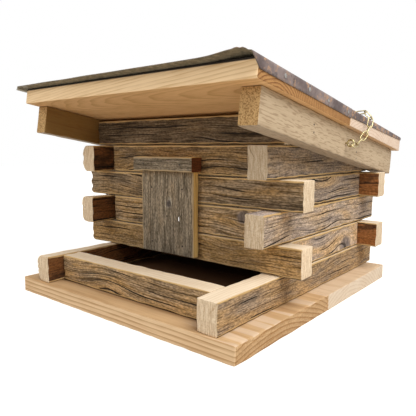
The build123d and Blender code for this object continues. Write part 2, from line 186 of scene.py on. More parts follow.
def put_out(group, **values):
    """Give a group one number output for each value."""
    for label in values:
        group.interface.new_socket(label, in_out="OUTPUT", socket_type="NodeSocketFloat")
    result = group.nodes.new("NodeGroupOutput").inputs
    for label, value in values.items():
        wire(value, result[label])


def use_group(tree, group, **values):
    """Place a node group in a material, set its inputs and give back its outputs by name."""
    node = tree.nodes.new("ShaderNodeGroup")
    node.node_tree = group
    for label, value in values.items():
        node.inputs[label].default_value = value
    return {socket.name: Value(tree, socket) for socket in node.outputs}


def new_material(name, roughness, specular):
    """A material with only its Principled shader, at a plain roughness and specular level."""
    material = bpy.data.materials.new(name)
    material.use_nodes = True
    shader = material.node_tree.nodes["Principled BSDF"].inputs
    shader["Roughness"].default_value = roughness
    shader["Specular IOR Level"].default_value = specular
    return material, material.node_tree, shader


def bump(shader, height, strength, distance):
    """Let a height tilt the surface's normals."""
    inputs = {"Height": height, "Strength": strength, "Distance": distance}
    wire(add(height.tree, "Bump", inputs, output="Normal"), shader["Normal"])


# %% [markdown]
# ## How wood is made of rings
# A tree grows a ring each year, pale in spring and dark in late summer, round its pith. A plank is
# a cut through those nested tubes: its long faces show stripes and flames, its ends show arcs. So
# every wooden mesh carries the point of the tree that it was cut from, as an attribute called
# grain: x along the trunk, y and z away from the pith. One pattern then fits faces and ends.

# %% Node group: growth rings, fibres and saw marks
rings_group, given = new_group("growth rings", Spacing=0.003, Wobble=0.004)
trunk = attribute(rings_group, "grain", "Vector")
from_pith = trunk.vector("MULTIPLY", (0, 1, 1)).vector("LENGTH", output="Value")
drift = noise(trunk, (5, 22, 22)) - 0.5
year = ((drift * given["Wobble"] + from_pith) / given["Spacing"]).calc("FRACT")
put_out(
    rings_group, Late=year.calc("POWER", 2.5) * ramp(year, 1.0, 0.88),
    Fibre=noise(trunk, (22, 600, 600), 3.0, 0.6),
    Dash=noise(trunk, (65, 680, 680), 1.0, 0.4),
    Speck=noise(trunk, (300, 640, 640), 1.5, 0.5),
    Saw=noise(trunk, (0, 60, 700), 3.0, 0.6),
)

# %% [markdown]
# ## How barn wood weathers
# The strips come from old boards. Their broad faces went grey in the sun, soft rings wore away
# between hard ones, and drying opened long cracks along the grain. The other faces were sawn
# when the feeder was made, so they are pale. Cracks are lines at even steps across the grain, which
# wander with a noise; another noise opens and closes each of them along its length.

# %% Node group: cracks, streaks, patches and the ragged edge of old wood


def cracks(trunk, spacing, reach, wander, shut, wide_open):
    """Lines across the grain, a spacing apart. A noise opens each one, to twice the reach at most."""
    along, wide, thin = (add(trunk.tree, "SeparateXYZ", (trunk,), output=way) for way in "XYZ")
    drift = noise(trunk, (6, 24, 24)) - 0.5
    steps = (thin * 0.7 + (drift * wander + wide)) / spacing
    own = add(trunk.tree, "CombineXYZ", (along * 9.0, steps.calc("FLOOR") * 5.3))
    opened = ramp(noise(own, (1, 1, 1)), shut, wide_open)
    off = (steps.calc("FRACT") - 0.5).calc("ABSOLUTE") * spacing
    return ramp(off - opened * reach, 0.0, -0.6 * reach) * ramp(opened, 0.0, 0.3)


weather_group, given = new_group("barn weather", Rim=0.005)
trunk = attribute(weather_group, "grain", "Vector")
margin = noise(trunk, (45, 150, 150), 3.0) * given["Rim"] - 0.0012
inside = ramp(attribute(weather_group, "edge") - margin, 0, 0.0008)
broad = ramp(attribute(weather_group, "old"), 0.45, 0.6)
put_out(
    weather_group, Broad=broad, Old=broad * inside,
    Crack=cracks(trunk, spacing=0.0098, reach=0.0010, wander=0.016, shut=0.44, wide_open=0.60),
    Check=cracks(trunk, spacing=0.0031, reach=0.00042, wander=0.008, shut=0.5, wide_open=0.63),
    Streak=noise(trunk, (9, 420, 420), 3.0, 0.65),
    Patch=noise(trunk, (16, 60, 60), 3.0, 0.6),
    Pit=ramp(noise(trunk, (90, 380, 380)), 0.6, 0.7),
)

# %% Old wood as a finish
sun_grey = (0.40, 0.34, 0.32)
soot = (0.018, 0.010, 0.006)
knot_rim, knot_heart = (0.62, 0.55, 0.43), (0.13, 0.106, 0.098)
crack_dark = (0.014, 0.009, 0.005)
# painted shade: the rim's colour where it faces down, in the shadow of the strip above
rim_painted_shade = (0.03, 0.018, 0.008)


def weathered_wood(name, sawn, end, rim, pale, dark, warm, inner, streaks, crack, dashes, scratches, halo):
    """Old wood: streaked, cracked skin on the broad faces, a warm rim round it, pale sawn wood elsewhere.

    sawn and end are (pale, dark) pairs for the other long faces and the ends. streaks, crack, dashes,
    scratches and halo are how strong the long streaks, open cracks, short dark marks, pale marks and
    the pale wood round a knot are.
    """
    material, tree, shader = new_material(name, 0.85, 0.2)
    rings = use_group(tree, rings_group, Spacing=0.0036, Wobble=0.014)
    worn = use_group(tree, weather_group)
    grey, knot, inward, cut = (attribute(tree, label) for label in ("grey", "knot", "inner", "cut"))
    fresh = blend(ramp(rings["Late"] * 0.35 + rings["Fibre"] * 0.7, 0.25, 0.85), *sawn)
    ends = blend(ramp(rings["Saw"] * 0.8 + rings["Speck"] * 0.3, 0.4, 0.72), *end)
    fresh = blend(ramp(cut, 0.4, 0.6), fresh, scaled(ends, attribute(tree, "end shade")))
    quiet = ramp(grey, 0.0, 1.0, 1.0, 0.3)
    streak = (worn["Streak"] - 0.5) * quiet * streaks + 0.275
    tone = worn["Patch"] * 0.4 + rings["Late"] * 0.12 + rings["Fibre"] * 0.45 + streak
    round_knot = ramp(knot, 0.05, 0.3) * ramp(knot, 0.75, 0.5)
    skin = layered(blend(ramp(tone, 0.60, 0.90), pale, dark), (
        (ramp(attribute(tree, "warmth") - worn["Patch"], -0.3, 0.06, 0.0, 0.65), warm),
        (grey * ramp(worn["Patch"], 0.35, 0.6, 0.35, 0.75), sun_grey),
        (ramp(rings["Dash"], 0.43, 0.33, 0.0, scratches), pale),
        (ramp(rings["Dash"], 0.53, 0.63, 0.0, dashes) * quiet, dark),
        (worn["Pit"] * 0.4, dark),
        (inward * ramp(tone, 0.6, 0.95, 0.95, 0.75), inner),
        (inward * ramp(worn["Patch"], 0.5, 0.62, 0.0, 0.7), soot),
        (round_knot * ramp(rings["Dash"], 0.58, 0.42, 0.0, halo), knot_rim),
        (ramp(knot, 0.3, 0.7, 0.0, 0.85), knot_heart),
    ))
    skin = scaled(skin, attribute(tree, "shade"))
    skin = scaled(skin, ramp(rings["Speck"], 0.3, 0.7, 1.32, 0.68))
    opened = worn["Crack"].calc("MAXIMUM", worn["Check"] * 0.7)
    skin = blend(opened * crack, skin, crack_dark)
    # painted shade: the rim darkens where its face looks down
    margin = blend(attribute(tree, "shade_below"), rim, rim_painted_shade)
    wire(blend(worn["Broad"], fresh, blend(worn["Old"], margin, skin)), shader["Base Color"])
    relief = rings["Fibre"] * -0.5 + worn["Streak"] * -0.8 + opened * (-2.5 * crack) + worn["Pit"] * -0.5
    bump(shader, rings["Saw"] * cut * 0.5 + rings["Fibre"] * -0.12 + relief * worn["Old"], 0.8, 0.0008)
    return material


barn_wood = weathered_wood(
    "barn wood",
    sawn=((0.82, 0.68, 0.50), (0.68, 0.51, 0.33)), end=((0.88, 0.72, 0.52), (0.60, 0.43, 0.26)),
    rim=(0.63, 0.42, 0.19), pale=(0.46, 0.335, 0.21), dark=(0.088, 0.054, 0.025),
    warm=(0.48, 0.27, 0.08), inner=(0.19, 0.068, 0.017),
    streaks=0.5, crack=0.97, dashes=0.5, scratches=0.3, halo=0.1,
)
door_wood = weathered_wood(
    "grey door wood",
    sawn=((0.95, 0.66, 0.25), (0.60, 0.38, 0.13)), end=((0.20, 0.06, 0.018), (0.08, 0.03, 0.01)),
    rim=(0.46, 0.34, 0.20), pale=(0.47, 0.38, 0.27), dark=(0.125, 0.095, 0.06),
    warm=(0.36, 0.25, 0.14), inner=(0.36, 0.22, 0.10),
    streaks=0.28, crack=0.4, dashes=0.55, scratches=0.75, halo=0.7,
)
print("old wood:", barn_wood.name, "and", door_wood.name)

# %% [markdown]
# ## Planed boards
# The base, the roof and the battens are new planed softwood. Their broad faces are nearly plain,
# their edges show the rings as long lines, and the end grain is darker and warmer, because the
# open pores drink light. Where seed has lain for years, the base has gone dark from old seed, and
# that dark also stands in for the roof's shade on the tray's floor, as painted shade, with a painted
# contact shadow fading out round the tray's logs. A painted shadow of the roof sheet darkens the
# top of the lid board.

# %% Planed wood as a finish
band_pale, band_dark = (0.92, 0.77, 0.62), (0.44, 0.25, 0.12)
inner_pair = ((0.27, 0.148, 0.032), (0.17, 0.080, 0.015))
# seed-darkened wood and painted shade: the tray floor is dark from old seed and from the roof's shade
seed_stain_and_shade = (0.13, 0.058, 0.024)
# painted shadow: the dark that the roof sheet casts on the top of the lid board's edges
painted_sheet_shadow = (0.016, 0.011, 0.007)


def planed_wood(name, face, edge, end, rings_at, lines, dashes, speckle):
    """Planed wood, with a (pale, dark) pair each for the broad faces, edges and ends.

    rings_at: how far apart the rings are, and how far they wander. lines: how strong they are on the
    faces, edges and ends. dashes and speckle: how strong the pores are along and across the grain.
    """
    material, tree, shader = new_material(name, 0.7, 0.25)
    rings = use_group(tree, rings_group, Spacing=rings_at[0], Wobble=rings_at[1])
    grain, chatter = attribute(tree, "grain", "Vector"), attribute(tree, "chatter")
    fine = (use_group(tree, weather_group)["Patch"] - 0.5) * 0.6 + rings["Fibre"] * 0.8
    tones = [ramp(rings["Late"] * strength + fine, 0.25, 1.0) for strength in lines]
    pores = noise(grain, (85, 620, 620), 1.0, 0.4)
    open_pore = ramp(pores, 0.53, 0.63, 0.0, dashes)
    bands = noise(grain, (7, 70, 9))
    narrow = blend(open_pore, blend(tones[1], *edge), edge[1])
    across = blend(ramp(rings["Speck"], 0.45, 0.65, 0.0, speckle), blend(tones[2], *end), end[1])
    color = layered(blend(tones[0], *face), (
        (open_pore, face[1]),
        (ramp(bands, 0.5, 0.58, 0.0, 0.32) * chatter, band_pale),
        (ramp(bands, 0.47, 0.4, 0.0, 0.35) * chatter, band_dark),
        (ramp(attribute(tree, "narrow"), 0.4, 0.6), narrow),
        (ramp(attribute(tree, "cut"), 0.4, 0.6), scaled(across, attribute(tree, "shade"))),
        (attribute(tree, "inner") * 0.92, blend(tones[1], *inner_pair)),
        # in the tray: seed-darkened wood and painted shade together; round it: a painted contact shadow
        (attribute(tree, "stain_and_shade"), seed_stain_and_shade),
        # painted shadow of the roof sheet, within 3 mm of the board's top face
        (ramp(attribute(tree, "sheet_shadow"), 0.0030, 0.0020), painted_sheet_shadow),
    ))
    wire(color, shader["Base Color"])
    height = pores * (-0.5 * dashes) + rings["Fibre"] * -0.4 + rings["Speck"] * (0.8 * speckle)
    bump(shader, height, 0.4, 0.0004)
    return material


base_pine, pale_base_pine, roof_pine, pale_roof_pine, batten_wood = (planed_wood(*look) for look in (
    ("base pine", ((0.64, 0.42, 0.22), (0.42, 0.24, 0.10)), ((0.88, 0.64, 0.39), (0.54, 0.32, 0.15)),
     ((0.64, 0.42, 0.22), (0.34, 0.17, 0.055)), (0.0050, 0.005), (0.4, 0.75, 0.7), 0.0, 0.35),
    ("pale base pine", ((0.72, 0.53, 0.35), (0.54, 0.36, 0.20)), ((0.86, 0.64, 0.40), (0.56, 0.34, 0.16)),
     ((0.84, 0.70, 0.54), (0.64, 0.47, 0.31)), (0.0050, 0.010), (0.3, 0.7, 0.4), 0.0, 0.0),
    ("roof pine", ((0.80, 0.51, 0.25), (0.54, 0.30, 0.11)), ((0.98, 0.72, 0.43), (0.70, 0.45, 0.21)),
     ((0.48, 0.25, 0.09), (0.20, 0.08, 0.022)), (0.0034, 0.010), (0.4, 0.45, 0.8), 0.0, 0.0),
    ("pale roof pine", ((0.72, 0.50, 0.30), (0.56, 0.34, 0.17)), ((0.80, 0.58, 0.36), (0.62, 0.40, 0.21)),
     ((0.84, 0.67, 0.53), (0.64, 0.46, 0.33)), (0.0040, 0.010), (0.3, 0.5, 0.5), 0.0, 0.0),
    ("batten wood", ((0.57, 0.44, 0.29), (0.36, 0.25, 0.15)), ((0.52, 0.42, 0.31), (0.33, 0.26, 0.19)),
     ((0.60, 0.38, 0.16), (0.25, 0.13, 0.04)), (0.0045, 0.006), (0.1, 0.2, 0.1), 0.75, 0.9),
))
wood_of_slot = {
    "barn_wood": barn_wood, "door_wood": door_wood, "base_pine": base_pine,
    "roof_pine": roof_pine, "batten_wood": batten_wood,
}
print("wood finishes:", len(wood_of_slot) + 2)

# %% [markdown]
# ## From a solid to its own axes
# A strip of wood is a box, but a roof board is a tilted one. The solid itself tells how it lies:
# the face normals that cover the most area are its axes, and the longest way is the grain.

# %% Measure a box-shaped node


def read(items, label, width=1, kind=float):
    """One value, or one row of them, from each of a mesh's items."""
    values = np.empty(len(items) * width, dtype=kind)
    items.foreach_get(label, values)
    return values if width == 1 else values.reshape(-1, width)


def points_of(node):
    """All points of a node's mesh."""
    return read(frame["nodes"][node].data.vertices, "co", 3)


def own_axes(node):
    """Middle, axes (rows: along the grain, wide way, thin way) and half sizes of a box-shaped solid."""
    places = points_of(node)
    polygons = frame["nodes"][node].data.polygons
    normals, areas = read(polygons, "normal", 3), read(polygons, "area")
    first = normals[areas.argmax()]
    second = normals[np.where(np.abs(normals @ first) < 0.02, areas, 0).argmax()]
    axes = np.array((first, second, np.cross(first, second)))
    axes = axes[np.argsort(-np.ptp(places @ axes.T, axis=0))]
    axes = axes * np.where(axes.sum(1) < 0, -1, 1)[:, None]
    axes[2] *= np.sign(np.linalg.det(axes))
    low, high = (places @ axes.T).min(0), (places @ axes.T).max(0)
    return (low + high) / 2 @ axes, axes, (high - low) / 2


print("lid board half sizes in mm:", (own_axes("roof_lid_board")[2] / mm).round(1))

# %% [markdown]
# ## Putting a surface into a mesh
# A surface is a grid of points. Its faces join each point to the next in both ways, round the
# back where the grid is closed. Whole arrays go into the mesh at once, which is far quicker than
# adding vertices one by one. Rings that shrink to one point are merged, so that poles are closed.

# %% Helpers for meshes


def joined(*parts, axis=0):
    """Arrays set end to end."""
    return np.concatenate(parts, axis)


def as_grid(x, y, z):
    """Points from their three coordinates, each spread over the whole grid."""
    return np.stack(np.broadcast_arrays(x, y, z), axis=-1)


def surface(name, points, wrap_rows=False, wrap_columns=False, attributes=None):
    """A smooth mesh object from one or many grids of points ((copies,) rows, columns, 3), with attributes."""
    if points.ndim == 3:
        points = points[None]
    copies, rows, columns = points.shape[:3]
    index = np.arange(copies * rows * columns).reshape(copies, rows, columns)
    index = np.pad(index, ((0, 0), (0, int(wrap_rows)), (0, int(wrap_columns))), mode="wrap")
    corners = (index[:, :-1, :-1], index[:, 1:, :-1], index[:, 1:, 1:], index[:, :-1, 1:])
    faces = np.stack(corners, axis=-1).reshape(-1, 4)
    mesh = bpy.data.meshes.new(name)
    mesh.vertices.add(copies * rows * columns)
    mesh.vertices.foreach_set("co", points.ravel())
    mesh.loops.add(faces.size)
    mesh.loops.foreach_set("vertex_index", faces.ravel().astype(np.int32))
    mesh.polygons.add(len(faces))
    mesh.polygons.foreach_set("loop_start", np.arange(0, faces.size, 4, dtype=np.int32))
    mesh.polygons.foreach_set("use_smooth", np.ones(len(faces), dtype=bool))
    for label, values in (attributes or {}).items():
        vector = values.shape[-1] == 3 and values.ndim == 3
        layer = mesh.attributes.new(label, "FLOAT_VECTOR" if vector else "FLOAT", "POINT")
        layer.data.foreach_set("vector" if vector else "value", values.ravel().astype(np.float32))
    mesh.update(calc_edges=True)
    work = bmesh.new()
    work.from_mesh(mesh)
    bmesh.ops.remove_doubles(work, verts=work.verts, dist=1e-7)
    bmesh.ops.recalc_face_normals(work, faces=work.faces)
    work.to_mesh(mesh)
    work.free()
    piece = bpy.data.objects.new(name, mesh)
    bpy.context.scene.collection.objects.link(piece)
    return piece


def dress(name, points, material, *nodes, **options):
    """Make a closed piece of a material that stands for its nodes, on their body, and hide their solids."""
    piece = surface(name, points, wrap_columns=True, **options)
    piece.data.materials.append(material)
    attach(piece, body_of[nodes[0]])
    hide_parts(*nodes)


def ripple(seed, *ways):
    """Smooth random waves about -1 to 1: six sines of the given coordinates, which are in wavelengths."""
    draw = np.random.default_rng(seed)
    total = 0
    for _ in range(6):
        turns = sum(way * draw.uniform(0.4, 1.6) * draw.choice((-1, 1)) for way in ways)
        total = total + np.sin(2 * np.pi * (turns + draw.uniform()))
    return total / 3


def smooth(value, low, high):
    """S curve from 0 at low to 1 at high."""
    share = np.clip((value - low) / (high - low), 0, 1)
    return share * share * (3 - 2 * share)


# %% [markdown]
# ## A sawn strip
# A strip is one closed surface: a rounded rectangle carried along the grain, drawn in round the
# two end faces until it closes. Edges are worn unevenly, so the corner radius wanders along the
# strip, faces bow by part of a millimetre, and the worn ends of old boards are rounder still.

# %% The sawn strip as a function on a grid
grid_step = 2.2 * mm
corner_points, end_rings, face_rings = 4, 4, 9
end_radius = 0.7 * mm
fray_reach = 14 * mm
edge_wave, corner_wave, bow_wave = 30 * mm, 50 * mm, 120 * mm


def section_walk(wide, thin):
    """One turn round a rectangle's section: the way faced in quarters, and the place on the flat, -1 to 1."""
    turns, shares = [], []
    for quarter, half in enumerate((thin, wide, thin, wide)):
        steps = max(6, round(2 * half / grid_step))
        turns.append(np.full(steps, quarter * 1.0))
        shares.append(np.linspace(-1, 1, steps, endpoint=False) + 1 / steps)
        turns.append(quarter + np.arange(1, corner_points + 1) / (corner_points + 1))
        shares.append(np.full(corner_points, 1.0))
    return np.concatenate(turns), np.concatenate(shares)


def strip_surface(half, seed, radius, worn, bow, corner_more, frayed):
    """Points and measures of a sawn strip about the origin, in its own axes (grain, wide, thin).

    A point is the section's corner box drawn in by the radius, plus the radius along the outward
    direction of the turn. Near an end the section is drawn in along a quarter circle of the end's
    radius, and on the end face it shrinks evenly to the middle. Each of the four corners may have
    more radius than the rest, and a frayed end is pulled in by waves round the section.
    """
    long, wide, thin = half
    turn, share = section_walk(wide, thin)
    steps = max(24, round(2 * long / grid_step))
    walk = np.arange(len(turn)) / len(turn) * 4
    quarter = np.linspace(0, np.pi / 2, end_rings + 1)
    shrink = np.linspace(1, 0, face_rings)
    middle, face, cap = np.zeros(steps), np.ones(face_rings), np.ones(face_rings + end_rings)
    along = joined(-cap, np.linspace(-1, 1, steps), cap)[:, None]
    drawn = joined(face, 1 - np.sin(quarter[:-1]), middle, 1 - np.cos(quarter[1:]), face)[:, None]
    out = joined(face, np.cos(quarter[:-1]), middle, np.sin(quarter[1:]), face)[:, None]
    scale = joined(shrink[::-1], np.ones(steps + 2 * end_rings), shrink)[:, None]
    end_round = (end_radius + np.where(along < 0, *worn)) * (1 + 0.45 * ripple(seed + 7, walk / 2))
    end_round = np.clip(end_round, 0.3 * mm, 0.9 * min(wide, thin))
    x = along * (long - end_round) + np.sign(along) * out * end_round * (np.abs(along) == 1)
    pull = np.clip(0.5 + 0.5 * ripple(seed + 11, walk / 0.5), 0, 1) * scale
    at_low, at_high = (smooth(sign * x, long - fray_reach, long) for sign in (-1, 1))
    x = x + frayed[0] * pull * at_low - frayed[1] * pull * at_high
    side = np.floor(turn + 1e-9).astype(int) % 4
    on_flat = np.isclose(turn, np.round(turn))
    more = corner_more[side - 1] * (1 - share) / 2 + corner_more[side] * (1 + share) / 2
    more = more * (1 + 0.25 * ripple(seed + 3, x / corner_wave))
    r = radius * (1 + 0.7 * ripple(seed + 1, x / edge_wave, walk / 2)) + more
    r = np.clip(r, 0.25 * radius, 0.8 * min(wide, thin))
    out_y, out_z = np.cos(turn * np.pi / 2), np.sin(turn * np.pi / 2)
    one = np.ones_like(share)
    y_sign = np.choose(side, (one, -share, -one, share))
    z_sign = np.choose(side, (share, one, -share, -one))
    y = y_sign * (wide - drawn * end_round - r) + out_y * r
    z = z_sign * (thin - drawn * end_round - r) + out_z * r
    edge = np.where(on_flat, np.abs(out_z) * (wide - np.abs(y)) + np.abs(out_y) * (thin - np.abs(z)), 0)
    settle = bow * ripple(seed + 2, x / bow_wave, walk / 2) * (scale == 1)
    points = as_grid(x, y * scale + settle * out_y, z * scale + settle * out_z)
    facing = as_grid(0 * x, out_y, out_z)
    return points, facing, edge, np.where(drawn > 0.6, 1.0, 0.0) * np.ones_like(x)


print("section points of a 25 x 33 strip:", len(section_walk(16.5 * mm, 12.5 * mm)[0]))

# %% [markdown]
# ## Knots, and a strip on its node
# A knot is a branch that grew through the board. The grain flows round it, so near a knot the
# grain attribute is drawn together across the board, which spreads the lines apart on the face.

# %% Build one wooden piece on its node
front, back, left, right, up, down = (0, -1, 0), (0, 1, 0), (-1, 0, 0), (1, 0, 0), (0, 0, 1), (0, 0, -1)
corner_ways = np.array(((1, 1), (-1, 1), (-1, -1), (1, -1)))
# painted contact shadow: how dark it starts and how far it fades round the tray's dark box
contact_shade, contact_shade_reach = 0.6, 8 * mm
knot_pull, bend_pull = 0.82, 0.55
knot_long, knot_wide = 2.6, 1.7


def wooden(
    node, seed, old_ways=(), radius=0.9 * mm, worn=(), frayed=(), bow=0.25 * mm, rounded=(),
    pith=(0.02, 0.045), slope=0.0, knots=(), bends=0, shade=1.0, end_shade=1.0, inner_shade=1.0,
    warmth=0.3, grey=0.0, clip=0.0, stained_and_shaded=None, inner_way=None, sheet_shadow=False, chatter=None, material=None,
):
    """Rebuild a wooden node.

    old_ways: where its weathered faces look, the main one first. worn and frayed: (way, size) of an
    end. rounded: (way, size) of long corners. pith: how far off the tree's middle is, wide and thin
    way. slope: how the grain runs out of the board. knots: (place in mm, size). bends: how many
    knots just off the strip bend its grain. clip: bevel of its far upper corner. stained_and_shaded:
    box of wood darkened by old seed and by painted shade, with a painted contact shadow round it.
    inner_way: where its darker inner face looks, if not away from the main old face. sheet_shadow:
    sheet metal lies on it, and a painted shadow of the sheet darkens it within 3 mm of its top face.
    chatter: between which x the rough bands of a board's end come in.
    """
    middle, axes, half = own_axes(node)

    def both_ends(sizes):
        """The size asked for at the low end and at the high end."""
        ends = [(np.dot(way, axes[0]), size) for way, size in sizes]
        return [max((size for end, size in ends if end * sign > 0.5), default=0) for sign in (-1, 1)]

    def toward(way):
        """How far each point's side of the section looks that way, from -1 to 1."""
        return facing @ (axes @ np.array(way))

    def part_grain(off, size, strength):
        """Draw the grain together across the strip, round a knot this far off."""
        near = np.exp(-(off[..., 0] / (knot_long * size)) ** 2 - (off[..., 1] / (knot_wide * size)) ** 2)
        grain[..., 1] -= strength * off[..., 1] * near

    more = np.zeros(4)
    for way, size in rounded:
        meant = corner_ways @ (axes[1:] @ np.array(way)) > 0.9 * np.linalg.norm(way)
        more = np.maximum(more, size * meant)
    ends_worn, ends_frayed = both_ends(worn), both_ends(frayed)
    points, facing, edge, cut = strip_surface(half - bow, seed, radius, ends_worn, bow, more, ends_frayed)
    if clip:
        points[..., 1] = np.minimum(points[..., 1], half[1] - clip + half[0] - points[..., 0])
    none, even = np.zeros(edge.shape), np.ones(edge.shape)
    old = none
    for way in old_ways:
        old = np.maximum(old, toward(way))
    inner_way = inner_way or (tuple(-np.array(old_ways[0])) if old_ways else (0, 0, 0))
    inner = np.clip(toward(inner_way), 0, 1) * (cut < 0.5)
    draw = np.random.default_rng(seed)
    grain = points + np.array((draw.uniform(-5, 5), *pith)) + np.array((0, *draw.uniform(-0.006, 0.006, 2)))
    grain[..., 2] += slope * points[..., 0]
    knot = none
    for place, size in knots:
        off = points - (np.array(place) * mm - middle) @ axes.T
        part_grain(off, size, knot_pull)
        knot = np.maximum(knot, np.exp(-(off[..., 0] ** 2 / 1.4 + off[..., 1] ** 2) / size ** 2))
    for _ in range(bends):
        size = draw.uniform(9, 15) * mm
        beside = draw.choice((-1, 1)) * (half[1] + draw.uniform(4, 9) * mm)
        off = points[..., :2] - np.array((draw.uniform(-0.85, 0.85) * half[0], beside))
        part_grain(off, size, bend_pull)
    placed = middle + points @ axes
    stain_and_shade = none
    # Inside the box, seed-darkened wood and the roof's painted shade; outside, a painted contact shadow fades
    # out.
    if stained_and_shaded:
        outside = np.maximum(np.array(stained_and_shaded[0]) - placed, placed - np.array(stained_and_shaded[1])).max(-1)
        stain_and_shade = np.where(outside < 0, 1.0, contact_shade * np.exp(-np.maximum(outside, 0) / contact_shade_reach))
    faces_down = -(facing @ axes)[..., 2]
    attributes = {
        "grain": grain, "edge": edge, "cut": cut, "inner": inner, "knot": knot, "stain_and_shade": stain_and_shade,
        "old": np.maximum(old, inner if old_ways else 0) * (cut < 0.5),
        # painted shade under each strip: the rim darkens where the face looks down
        "shade_below": smooth(faces_down, 0.3, 0.65) * (faces_down < 0.95),
        "grey": np.maximum(grey, toward(old_ways[1]) if old_ways[1:] else none),
        "narrow": np.abs(facing[..., 1]),
        "shade": np.where(inner > 0.5, inner_shade, shade), "end shade": end_shade * even,
        # painted shadow of the roof sheet: how deep each point lies below the board's top face
        "warmth": warmth * even, "sheet_shadow": half[2] - points[..., 2] if sheet_shadow else even,
        "chatter": smooth(placed[..., 0], *chatter) if chatter else none,
    }
    material = material or wood_of_slot[slot_of[node]]
    dress(f"{node}_wood", placed, material, node, attributes=attributes)


# %% [markdown]
# ## The log walls
# Each strip shows its weathered face to the outside and another old face to the inside. No two
# came from the same board, so each has a shade, a warmth, a greyness and a shade of its ends, in
# that order in the table, and a few get the knots and frayed ends that catch the eye. The shades
# also hold painted shade: they fall towards the roof on the front and right walls, under the eaves,
# and the ends of right_log_4 and right_log_2 are darkened in the same way. The end of front_log_1
# is painted lighter, as painted light against the shadow that falls on it.

# %% Logs
old_faces = {"front": front, "back": back, "left": left, "right": right}
# painted shade: the low shades near the roof and the end shades below 1; painted light: front_log_1's end
log_look = {
    "front_top_log": (0.52, 0.15, 0, 1), "front_log_4": (0.78, 0.42, 0, 1), "front_log_3": (0.85, 0.3, 0, 1),
    "front_log_2": (1.15, 0.36, 0, 1), "front_log_1": (1.04, 0.52, 0, 1.12),
    "right_log_4": (0.86, 0.2, 0.5, 0.7), "right_log_3": (1.1, 0.3, 0.5, 1),
    "right_log_2": (1.36, 0.27, 0.5, 0.84), "right_log_1": (1.46, 0.36, 0.5, 1),
    "tray_right_log": (1.06, 0.42, 0.25, 1), "tray_front_log": (1.15, 0.4, 0, 1),
}
log_knots = {"right_log_1": (((150, 97, 58), 17 * mm),), "front_log_2": (((103, -75, 112), 9 * mm),)}
log_worn = ((left, 1.2 * mm), (back, 1.2 * mm))
log_frayed = ((left, 3.0 * mm), (right, 0.6 * mm), (front, 1.1 * mm))
log_nodes = sorted(node for node, slot in slot_of.items() if slot == "barn_wood")
for number, node in enumerate(log_nodes):
    way = next(old_faces[word] for word in node.split("_") if word in old_faces)
    shade, warmth, grey, end_shade = log_look.get(node, (1.0, 0.3, 0, 1))
    wooden(
        node, 100 + 10 * number, old_ways=(way, up) if node == "right_log_2" else (way,), bow=0.3 * mm,
        worn=log_worn, frayed=log_frayed,
        rounded=((tuple(np.add(way, down)), 1.4 * mm), (left, 9 * mm if way == left else 0)),
        knots=log_knots.get(node, ()), bends=3, shade=shade, warmth=warmth, grey=grey, end_shade=end_shade,
        inner_shade=1.65 if way == back else 0.9,
    )
print("logs:", len(log_nodes))

# %% Door, base, roof and battens
# The tray's floor: seed-darkened wood and painted shade, with a painted contact shadow round it.
tray_low, tray_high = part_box("tray_front_log")[0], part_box("back_sill_log")[1]
base_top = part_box("base_front_board")[1][2]
stained_and_shaded = ((tray_low[0], tray_low[1] + 3 * mm, base_top - 2 * mm), (tray_high[0], tray_high[1], 1.0))
board = {"radius": 0.8 * mm, "bow": 0.1 * mm}
batten = {"radius": 1.0 * mm, "bow": 0.1 * mm, "clip": 5 * mm}
door_knots = (((-3, -84, 120), 5 * mm),)
wooden("door_board", 901, old_ways=(front,), radius=0.7 * mm, shade=0.82, warmth=0.25, knots=door_knots)
wooden("door_lintel", 911, old_ways=(front,), radius=0.8 * mm, shade=0.74, warmth=0.25)
wooden(
    "base_front_board", 921, radius=0.6 * mm, bow=0.1 * mm, pith=(0.03, 0.24), stained_and_shaded=stained_and_shaded,
    chatter=(0.08, 0.14), worn=((right, 0.9 * mm),), frayed=((right, 0.7 * mm),),
)
wooden("base_rear_board", 931, **board, pith=(0.03, 0.12), stained_and_shaded=stained_and_shaded, material=pale_base_pine)
# The lid board carries the painted shadow of its roof sheet.
wooden("roof_lid_board", 941, **board, pith=(0.06, 0.06), slope=-0.1, sheet_shadow=True)
wooden("roof_rear_board", 951, **board, pith=(0.02, 0.09), material=pale_roof_pine)
wooden("left_batten", 961, **batten, rounded=(((-1, 0, -1), 3 * mm),), inner_way=right)
wooden("right_batten", 971, **batten, inner_way=left)
print("boards and battens are in place")

# %% [markdown]
# ## Metal that has been outside
# The roof sheets are old painted steel: a dull purple-brown with flecks of rust, darker marks and
# a bare olive underside. Nails, hinges and the chain are brighter, but tarnished in the same way.
# So rust is one node group, and each metal places it with its own amount.

# %% Node group: rust
rust_group, given = new_group("rust", Amount=0.5)
place = add(rust_group, "TexCoord", output="Object")
cloud = noise(place, (30, 30, 30), 4.0, 0.6)
fleck = noise(place, (210, 210, 210), 3.0, 0.6)
worn_off = cloud * 0.5 + (given["Amount"] * 0.3 - 0.15)
put_out(
    rust_group, Rust=ramp(fleck * 0.7 + worn_off, 0.64, 0.76), Cloud=cloud,
    Mark=ramp(noise(place, (120, 120, 120)), 0.56, 0.68), Fleck=fleck,
)

# %% Metal finishes
paint_dark, paint_pale, paint_mark = (0.115, 0.084, 0.080), (0.285, 0.222, 0.205), (0.055, 0.044, 0.044)
# painted light: the colour that the rolled lip is lightened towards
sheet_rust, lip_painted_light = (0.46, 0.28, 0.17), (0.52, 0.51, 0.45)
olive_pale, olive_dark = (0.24, 0.21, 0.145), (0.14, 0.12, 0.08)


